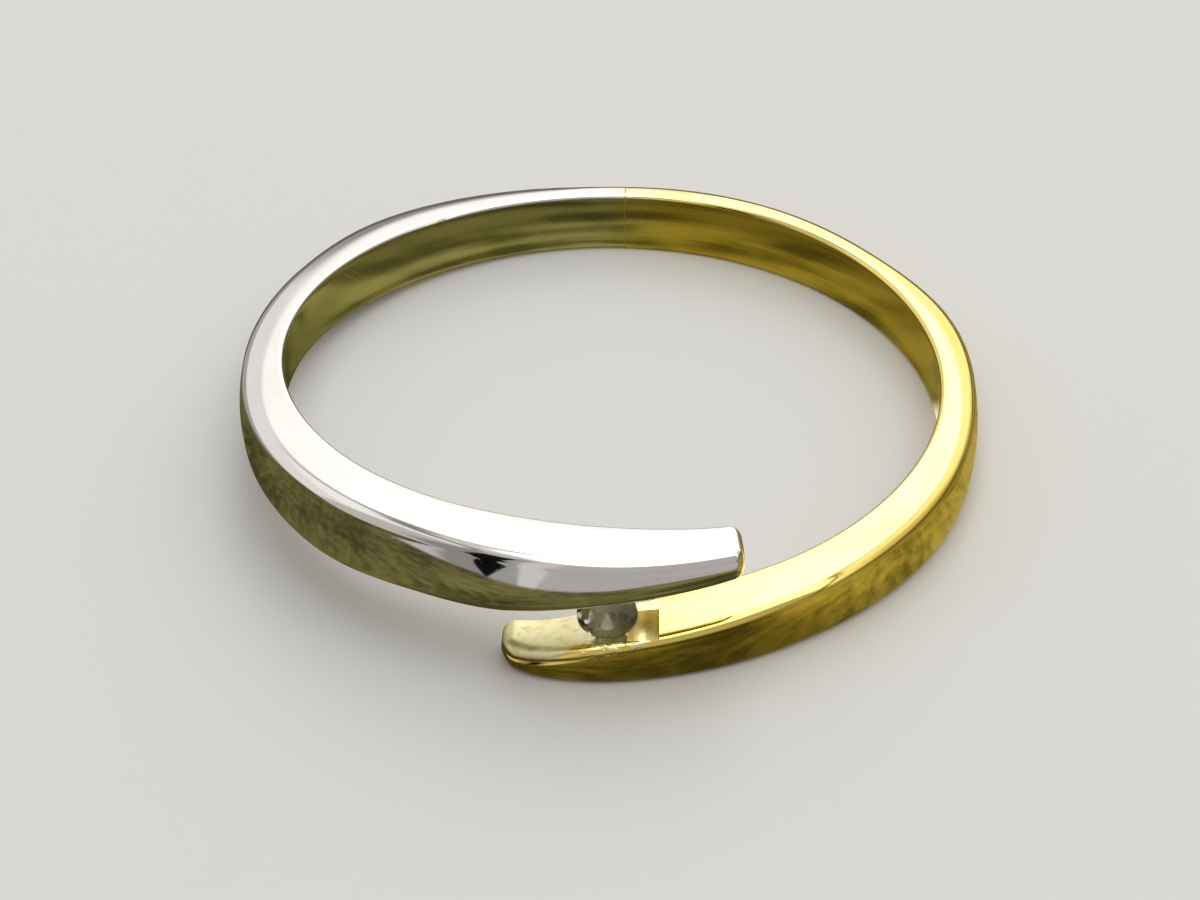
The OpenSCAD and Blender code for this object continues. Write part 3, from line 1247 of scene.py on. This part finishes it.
@dataclass
class PaintedReflectionCard:
    """A painted reflection: the dark ground that the ring's walls mirror, on a glowing card out of
    the camera's sight that lights nothing and casts no shadow.

    front_edge is where the pale sheets in front begin, and front_foot where their bearings are
    taken from. The bore mirrors what is inside bore_edge, and the outer walls what is outside.
    """

    drop: float = 0.01
    front_edge: float = -15.6
    front_foot: tuple[float, float] = (-2.5, -10.2)
    bore_edge: tuple[float, float] = (8.4, 9.2)
    flag: PaintedDarkGap = PaintedDarkGap()
    olive: tuple[Triple, Triple] = ((0.070, 0.065, 0.022), (0.215, 0.190, 0.060))
    golden: tuple[Triple, Triple] = ((0.070, 0.063, 0.014), (0.270, 0.237, 0.060))
    taupe: Triple = (0.17, 0.155, 0.12)
    grey: Triple = (0.37, 0.37, 0.345)
    front: Triple = (0.44, 0.415, 0.40)
    glint: Triple = (1.0, 0.95, 0.80)

    def build(self, radius: float) -> None:
        """Lays the card under the ring.

        Args:
            radius: How far the round card reaches, in millimetres.
        """
        card = sheet("ground_card", polar((0.0, radius), (-self.drop,) * 2))
        # seen only in reflections and through the stone, so it is a painted reflection that lights
        # nothing and casts no shadow
        card.visible_diffuse = False
        card.visible_shadow = False
        material, g, glow = glowing("ground_card")
        place = g.place()
        at = Place(place, *g.split(place), g.vector("LENGTH", place))
        near = g.ranged(at.radius, *self.bore_edge, 1.0, 0.0)
        lit = g.mix(self.outer_reflection(g, at), self.bore_reflection(g, at), near)
        edge = g.more(at.y, g.math("MAXIMUM", at.x, 0.0), 0.45)
        edge = g.more(edge, g.math("MAXIMUM", g.minus(-9.0, at.x), 0.0), -0.3)
        beyond = g.ranged(edge, self.front_edge + 0.4, self.front_edge - 0.6)
        # painted reflection of the pale sheets in front, past the front edge
        front = g.mix(lit, self.sheets(g, at), beyond)
        # painted dark reflection: the dark gap laid over the painted sheets in front
        g.feed(glow, g.mix(front, self.flag.colour, self.wedge(g, at, beyond)))
        card.data.materials.append(material)

    def outer_reflection(self, g: Graph, at: Place) -> Socket:
        """Paints the reflection that the outer walls mirror.

        Args:
            g: The card's graph.
            at: The place.

        Returns:
            The colour: blotchy olive, brighter to the right and darker to the left, darker under
                the front as a painted shadow, and grey at the back on the left.
        """
        cloud = g.noise(at.whole, (0.14, 0.26, 1.0), 3.0)
        grain = g.noise(at.whole, (1.1, 2.6, 1.0), 4.0)
        mottle = g.more(g.times(cloud, 0.60), grain, 0.40)
        olive = g.mix(*self.olive, g.ranged(mottle, 0.38, 0.62))
        # painted light and shade: the mirrored ground is brighter to the right and darker to the
        # left
        olive = g.scaled(olive, g.ranged(at.x, 5.0, 8.0, 1.0, 1.9))
        olive = g.scaled(olive, g.ranged(at.x, -8.5, -6.5, 0.78, 1.0))
        outer = g.mix(olive, self.taupe, g.ranged(at.y, 9.5, 12.0, 0.0, 0.8))
        # painted shadow: the mirrored ground is darker under the front of the ring
        under = g.times(g.ranged(at.y, -14.5, -12.0), g.ranged(at.y, -7.0, -9.5))
        under = g.times(under, g.ranged(g.math("ABSOLUTE", at.x), 4.0, 7.0, 1.0, 0.0))
        outer = g.scaled(outer, g.between(1.0, 0.60, under))
        back_left = g.times(g.ranged(at.x, -11.8, -13.2), g.ranged(at.y, 2.0, 6.0))
        return g.mix(outer, self.grey, back_left)

    def bore_reflection(self, g: Graph, at: Place) -> Socket:
        """Paints the reflection that the bore mirrors.

        Args:
            g: The card's graph.
            at: The place.

        Returns:
            The colour: golden olive, drawn out in streaks along the wall, darker to the left, with
                painted shade at the back and a painted glint just inside the wall at its two sides.
        """
        along = g.times(g.math("ARCTAN2", at.x, at.y), BAND.hole_r)
        streak = g.noise(g.join(along, at.radius, 0.0), (0.18, 2.4, 1.0), 5.0)
        patchy = g.noise(g.join(along, at.radius, 5.0), (0.45, 0.5, 1.0), 2.0)
        share = g.more(g.times(streak, 0.6), patchy, 0.4)
        inner = g.mix(*self.golden, g.ranged(share, 0.37, 0.60))
        inner = g.scaled(inner, g.ranged(at.x, -8.0, -5.5, 0.5, 1.0))
        # painted shade: the ground mirrored at the back of the bore darkens away from the wall
        back = g.times(g.ranged(at.y, 4.0, 5.5), g.ranged(at.radius, 7.4, 6.9))
        inner = g.scaled(inner, g.between(1.0, 0.55, back))
        # painted glint: a bright ring just inside the bore, beside its two sides
        beside = g.ranged(g.off(at.y, -0.6), 1.3, 2.2, 1.0, 0.0)
        return g.mix(inner, self.glint, g.times(g.ranged(at.radius, 8.15, 8.35), beside))

    def sheets(self, g: Graph, at: Place) -> Any:
        """Paints the reflection of the tent's front sheets, carried on over the card by their
        bearings.

        Args:
            g: The card's graph.
            at: The place.

        Returns:
            The colour.
        """
        seen = bearing_from(g, at, self.front_foot)
        front: Any = self.front
        for patch in FRONT_SHEETS:
            start, stop = (patch.wide * (1 + side * patch.soft) for side in (-1, 1))
            inside = g.ranged(g.off(seen, patch.bearing), start, stop, 1.0, 0.0)
            front = g.mix(front, patch.glow, inside)
        return front

    def wedge(self, g: Graph, at: Place, share: Any) -> Any:
        """Finds the painted dark gap.

        Args:
            g: The card's graph.
            at: The place.
            share: How much the place is in front of the ring.

        Returns:
            How much of that belongs to the gap.
        """
        flag = self.flag
        for foot, half in ((flag.foot, flag.half), (flag.far_foot, flag.far_half)):
            off = g.off(bearing_from(g, at, foot), flag.bearing)
            share = g.times(share, g.ranged(off, half - flag.blur, half + flag.blur, 1.0, 0.0))
        return share


def bearing_from(g: Graph, at: Place, foot: tuple[float, float]) -> Socket:
    """Finds a place's bearing, in degrees from the back towards the right, seen from a foot."""
    return g.math("DEGREES", g.math("ARCTAN2", g.minus(at.x, foot[0]), g.minus(at.y, foot[1])))


def polar(radii: Sequence[float], heights: Sequence[float]) -> list[list[Triple]]:
    """Lists rings of points round the finger's axis.

    Args:
        radii: Each ring's radius, in millimetres.
        heights: Each ring's height.

    Returns:
        A row of points for each ring, whose last point is its first again.
    """
    turns = [math.radians(SHEET_STEP * k) for k in range(round(360 / SHEET_STEP) + 1)]
    return [[(r * math.sin(a), r * math.cos(a), z) for a in turns] for r, z in zip(radii, heights)]


def sheet(name: str, grid: Sequence[Sequence[Triple]]) -> bpy.types.Object:
    """Makes a sheet of the stage that the camera doesn't see, from rows of points.

    Args:
        name: The object's name.
        grid: Rows of the same number of points, in millimetres.

    Returns:
        The sheet.
    """
    wide = len(grid[0])
    points = [Vector(p) * MM for row in grid for p in row]
    faces = [
        (r * wide + c, r * wide + c + 1, (r + 1) * wide + c + 1, (r + 1) * wide + c)
        for r in range(len(grid) - 1)
        for c in range(wide - 1)
    ]
    mesh = bpy.data.meshes.new(name)
    mesh.from_pydata(points, [], faces)
    made = linked(name, mesh)
    made.visible_camera = False
    return made


def glowing(name: str) -> tuple[bpy.types.Material, Graph, Socket]:
    """Makes a material that only glows, and is lit upon by chance and not aimed at.

    Args:
        name: The material's name.

    Returns:
        The material, its graph and its glow's colour, which is still to be fed.
    """
    material, g, shader = Graph.material(name)
    material.cycles.emission_sampling = "NONE"
    g.tree.nodes.remove(shader)
    glow = g.add("ShaderNodeEmission")
    g.feed(g.tree.nodes["Material Output"].inputs["Surface"], glow.outputs[0])
    return material, g, glow.inputs["Color"]


@dataclass
class Studio:
    """The plain floor, the light tent round it and the camera."""

    tent_radius: float = 500.0
    floor_size: float = 3000.0
    wall_height: float = 900.0
    floor_drop: float = 0.02
    floor_step: float = 7.5
    floor_colour: Triple = (0.64, 0.637, 0.624)
    floor_roughness: float = 0.9
    floor_gloss: float = 0.15
    room_colour: Triple = (0.6, 0.6, 0.6)

    def build(self) -> None:
        """Makes the floor, the painted reflection card, the tent and the camera."""
        self.floor()
        PaintedReflectionCard().build(self.tent_radius)
        self.tent()
        self.surroundings()
        self.camera()

    def floor(self) -> None:
        """Makes the plain pale floor, which sweeps up into a wall far away."""
        count = round(360 / self.floor_step)
        turns = [math.radians(self.floor_step * k) for k in range(count)]
        half = self.floor_size / 2
        work = bmesh.new()
        rings = []
        for share, rise in ((0.5, 0.0), (0.9, 0.0), (0.97, 0.02), (1.0, 0.1), (1.0, 1.0)):
            z = rise * self.wall_height - self.floor_drop
            points = [(half * share * math.sin(a), half * share * math.cos(a), z) for a in turns]
            rings.append([work.verts.new(point) for point in points])
        middle = work.verts.new((0, 0, -self.floor_drop))
        for k in range(count):
            after = (k + 1) % count
            work.faces.new((middle, rings[0][after], rings[0][k]))
            for inner, outer in zip(rings, rings[1:]):
                work.faces.new((inner[k], inner[after], outer[after], outer[k]))
        work.transform(Matrix.Scale(MM, 4))
        mesh = bpy.data.meshes.new("floor")
        work.to_mesh(mesh)
        work.free()
        material, _, shader = Graph.material("pale_floor")
        shader.inputs["Base Color"].default_value = (*self.floor_colour, 1.0)
        shader.inputs["Roughness"].default_value = self.floor_roughness
        shader.inputs["Specular IOR Level"].default_value = self.floor_gloss
        mesh.materials.append(material)
        linked("floor", mesh)

    def tent(self) -> None:
        """Makes the tent: a half dome of light, brighter and darker by direction."""
        rise = [math.radians(5 * k) for k in range(19)]
        radii, heights = (
            [self.tent_radius * turn(e) for e in rise] for turn in (math.cos, math.sin)
        )
        dome = sheet("light_tent", polar(radii, heights))
        material, g, glow = glowing("light_tent")
        place = g.add("ShaderNodeTexCoord").outputs["Object"]
        x, y, z = g.split(g.vector("NORMALIZE", place))
        bearing = g.math("DEGREES", g.math("ARCTAN2", x, y))
        elevation = g.math("DEGREES", g.math("ARCSINE", z))
        colour: Any = (TENT_BASE,) * 3
        for patch in TENT_PATCHES:
            across = g.math("WRAP", g.minus(bearing, patch.bearing), 180.0, -180.0)
            sides = (
                (g.math("ABSOLUTE", across), patch.wide),
                (g.off(elevation, patch.elevation), patch.tall),
            )
            shares = (g.math("DIVIDE", off, half) for off, half in sides)
            reach = g.plus(*(g.math("POWER", share, patch.corners) for share in shares))
            distance = g.math("POWER", reach, 1 / patch.corners)
            inside = g.ranged(distance, 1 - patch.soft, 1 + patch.soft, 1.0, 0.0)
            colour = g.mix(colour, patch.glow, inside)
        g.feed(glow, colour)
        dome.data.materials.append(material)

    def surroundings(self) -> None:
        """Sets the dim room round the tent and the plain rendering of colours."""
        world = bpy.data.worlds.new("room")
        world.use_nodes = True
        background = world.node_tree.nodes["Background"]
        background.inputs["Color"].default_value = (*self.room_colour, 1.0)
        bpy.context.scene.world = world
        bpy.context.scene.view_settings.view_transform = "Standard"

    def camera(self) -> None:
        """Sets the camera at the photograph's angle, distance and framing."""
        distance, elevation = 136.0, math.radians(36.6)
        pixels_per_mm, frame_width = 38.15, 1200.0
        axis_x, axis_y = 612.5, 433.5
        centre_x, centre_y = 600.0, 450.0
        lens = bpy.data.cameras.new("camera")
        lens.sensor_width = 36.0
        lens.lens = lens.sensor_width * distance * pixels_per_mm / frame_width
        lens.shift_x = (centre_x - axis_x) / frame_width
        lens.shift_y = (axis_y - centre_y) / frame_width
        lens.clip_start = 1 * MM
        lens.clip_end = 10.0
        camera = linked("camera", lens)
        away, up = (distance * turn(elevation) * MM for turn in (math.cos, math.sin))
        camera.location = (0, -away, up)
        camera.rotation_euler = (math.pi / 2 - elevation, 0, 0)
        bpy.context.scene.camera = camera


def corners(box: Iterable[Vector]) -> list[list[float]]:
    """Turns a box's two corners into plain lists."""
    return [[float(v) for v in corner] for corner in box]


def main() -> None:
    """Builds the studio and the ring's pieces, and reports each."""
    logging.basicConfig(level=logging.INFO, format="%(name)s: %(message)s")
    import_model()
    Studio().build()
    white_metal = MetalFinish(
        name="white_metal",
        colour=(0.90, 0.89, 0.88),
        deep=(0.86, 0.845, 0.82),
        roughness=0.055,
        relief=0.05,
        seed=0.0,
    )
    yellow_gold = GoldFinish(
        name="yellow_gold",
        colour=(1.0, 0.80, 0.26),
        deep=(0.98, 0.75, 0.20),
        roughness=0.06,
        relief=0.20,
        seed=7.0,
    )
    tree = SweepTree()
    arms = (
        (Arm(Side.WHITE, WHITE_ROWS, 199.0, pocket=False), white_metal),
        (Arm(Side.YELLOW, YELLOW_ROWS, 196.3, pocket=True), yellow_gold),
    )
    pieces = [(arm.build(tree, skin.build()), arm.side.value, skin.name) for arm, skin in arms]
    pieces.append((Brilliant().build(StoneFinish().build()), "stone", "stone"))
    for piece, node, slot in pieces:
        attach(piece, "root")
        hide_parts(node)
        LOG.info("%s: %d faces", piece.name, len(piece.data.polygons))


if __name__ == "__main__":
    main()
